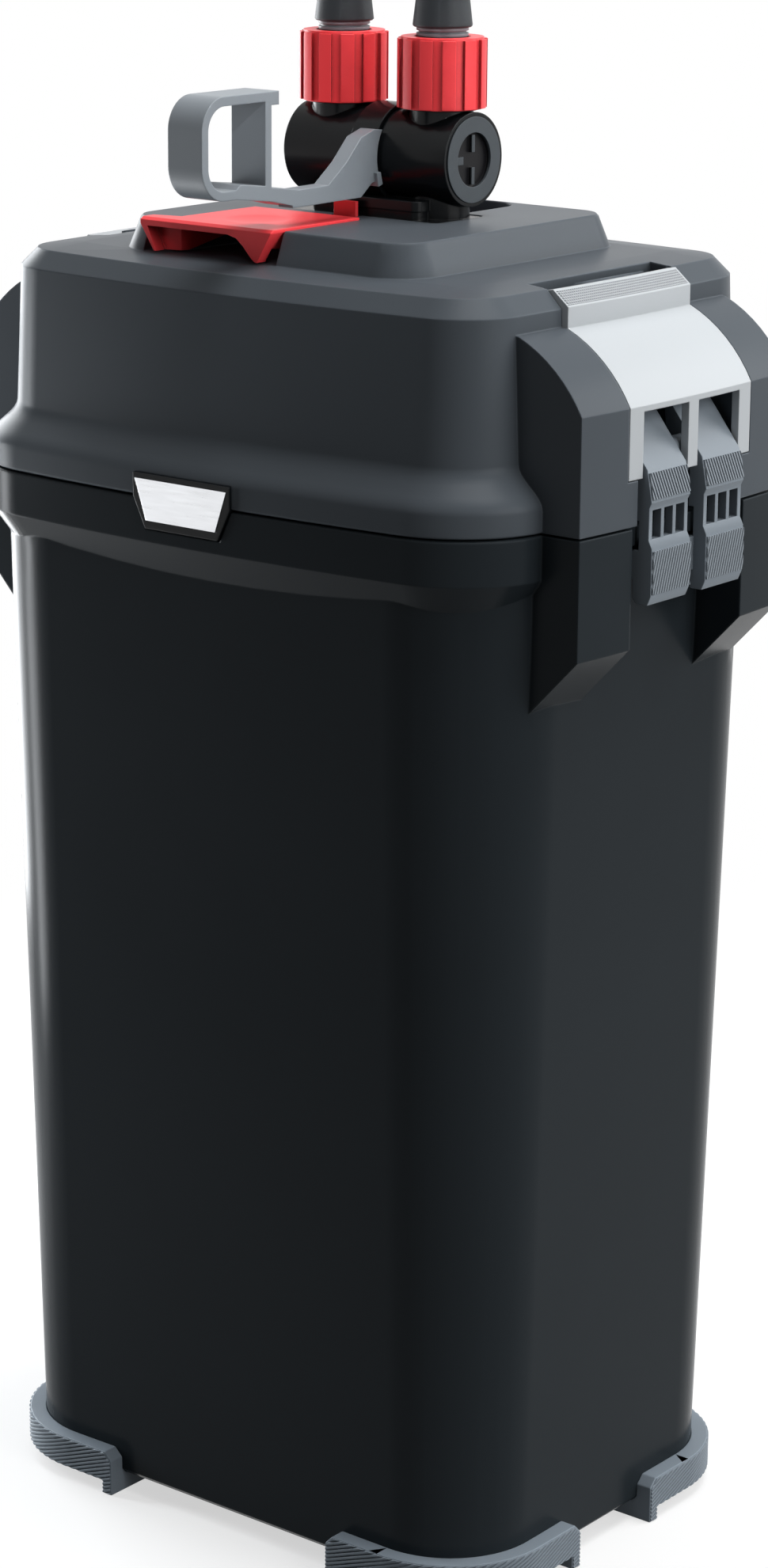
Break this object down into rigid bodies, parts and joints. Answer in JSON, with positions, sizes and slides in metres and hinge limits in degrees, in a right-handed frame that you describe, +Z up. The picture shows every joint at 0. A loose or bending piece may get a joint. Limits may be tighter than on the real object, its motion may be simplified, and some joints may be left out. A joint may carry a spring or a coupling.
{
  "type": "canister filter",
  "caption": "Upright canister filter: case on corner feet, clamped lid with pump, and a lift-out hose valve with lever and lock nuts.",
  "frame": {"origin": "on the floor, under the middle of the canister", "axes": "+Z up, -Y the front with the badge and lever, +X and -X the clamp ends"},
  "size_m": [0.2476, 0.1743, 0.504],
  "materials": {
    "case": "moulded, glossy charcoal",
    "lid": "moulded, satin slate grey",
    "foot": "knurled blue-grey",
    "cover": "satin light grey",
    "clamp": "knurled mid grey",
    "lever": "satin mid grey",
    "red": "bright red",
    "valve": "glossy black",
    "cap": "satin dark grey",
    "stem": "ringed grey",
    "rubber": "soft black",
    "basket": "slotted dark grey",
    "media": "porous ceramic fill",
    "floss": "white fibre pad",
    "foam": "open-cell foam",
    "silver": "bright silver trim",
    "steel": "stainless",
    "copper": "copper winding",
    "ceramic": "polished ceramic",
    "magnet": "coated magnet and blades"
  },
  "bodies": {
    "canister": {"canister_case": "case", "foot_front_left": "foot", "foot_front_right": "foot", "foot_back_left": "foot", "foot_back_right": "foot", "media_basket_1": "basket", "media_basket_2": "basket", "media_basket_3": "basket", "media_basket_4": "basket", "basket_cover": "basket", "media_block_1": "media", "media_block_2": "media", "media_block_3": "media", "media_block_4": "floss", "foam_frame": "basket", "foam_pad_inner": "foam", "foam_pad_outer": "foam"},
    "lid": {"lid_cover": "lid", "lid_seal": "rubber", "badge_bezel": "valve", "badge_plate": "silver", "cable_gland": "rubber", "clamp_cover_left": "cover", "clamp_cover_right": "cover", "clamp_pin_left": "steel", "clamp_pin_right": "steel", "motor_housing": "lid", "stator": "copper", "impeller_cover": "basket", "impeller_shaft": "ceramic", "bushing_upper": "rubber", "bushing_lower": "rubber", "motor_screw_1": "steel", "motor_screw_2": "steel", "motor_screw_3": "steel", "motor_screw_4": "steel", "eject_pin": "steel"},
    "valve": {"valve_block": "valve", "end_cap_left": "cap", "end_cap_right": "cap", "port_seal_left": "rubber", "port_seal_right": "rubber", "hose_stem_left": "stem", "hose_stem_right": "stem", "hose_cuff_left": "rubber", "hose_cuff_right": "rubber"},
    "lever": {"flow_lever": "lever", "lever_collar": "valve", "valve_spool": "cap"},
    "nut_left": {"lock_nut_left": "red"},
    "nut_right": {"lock_nut_right": "red"},
    "eject": {"eject_lever": "red"},
    "rotor": {"impeller": "magnet"},
    "left_clamp": {"clamp_left": "clamp"},
    "right_clamp": {"clamp_right": "clamp"}
  },
  "joints": [
    {"name": "lid_lift", "type": "slide", "parent": "canister", "child": "lid", "axis": [0, 0, 1], "range_m": [0, 0.008]},
    {"name": "clamp_left_swing", "type": "hinge", "parent": "lid", "child": "left_clamp", "pos_m": [-0.1146, 0, 0.3605], "axis": [0, 1, 0], "range_deg": [0, 80]},
    {"name": "clamp_right_swing", "type": "hinge", "parent": "lid", "child": "right_clamp", "pos_m": [0.1146, 0, 0.3605], "axis": [0, -1, 0], "range_deg": [0, 80]},
    {"name": "valve_lift", "type": "slide", "parent": "lid", "child": "valve", "axis": [0, 0, 1], "range_m": [0, 0.045]},
    {"name": "flow_lever_swing", "type": "hinge", "parent": "valve", "child": "lever", "pos_m": [0, 0.0086, 0.4376], "axis": [-1, 0, 0], "range_deg": [0, 40]},
    {"name": "lock_nut_left_turn", "type": "hinge", "parent": "valve", "child": "nut_left", "pos_m": [-0.0193, 0.0086, 0.463], "axis": [0, 0, 1], "continuous": true},
    {"name": "lock_nut_right_turn", "type": "hinge", "parent": "valve", "child": "nut_right", "pos_m": [0.0193, 0.0086, 0.463], "axis": [0, 0, 1], "continuous": true},
    {"name": "eject_lever_lift", "type": "hinge", "parent": "lid", "child": "eject", "pos_m": [0, -0.018, 0.4155], "axis": [-1, 0, 0], "range_deg": [0, 7]},
    {"name": "impeller_spin", "type": "hinge", "parent": "lid", "child": "rotor", "pos_m": [-0.061, 0, 0.36], "axis": [0, 0, 1], "continuous": true}
  ],
  "couplings": [
    {"joint": "clamp_left_swing", "follows": "lid_lift", "rad_per_m": 174.5},
    {"joint": "clamp_right_swing", "follows": "lid_lift", "rad_per_m": 174.5}
  ]
}
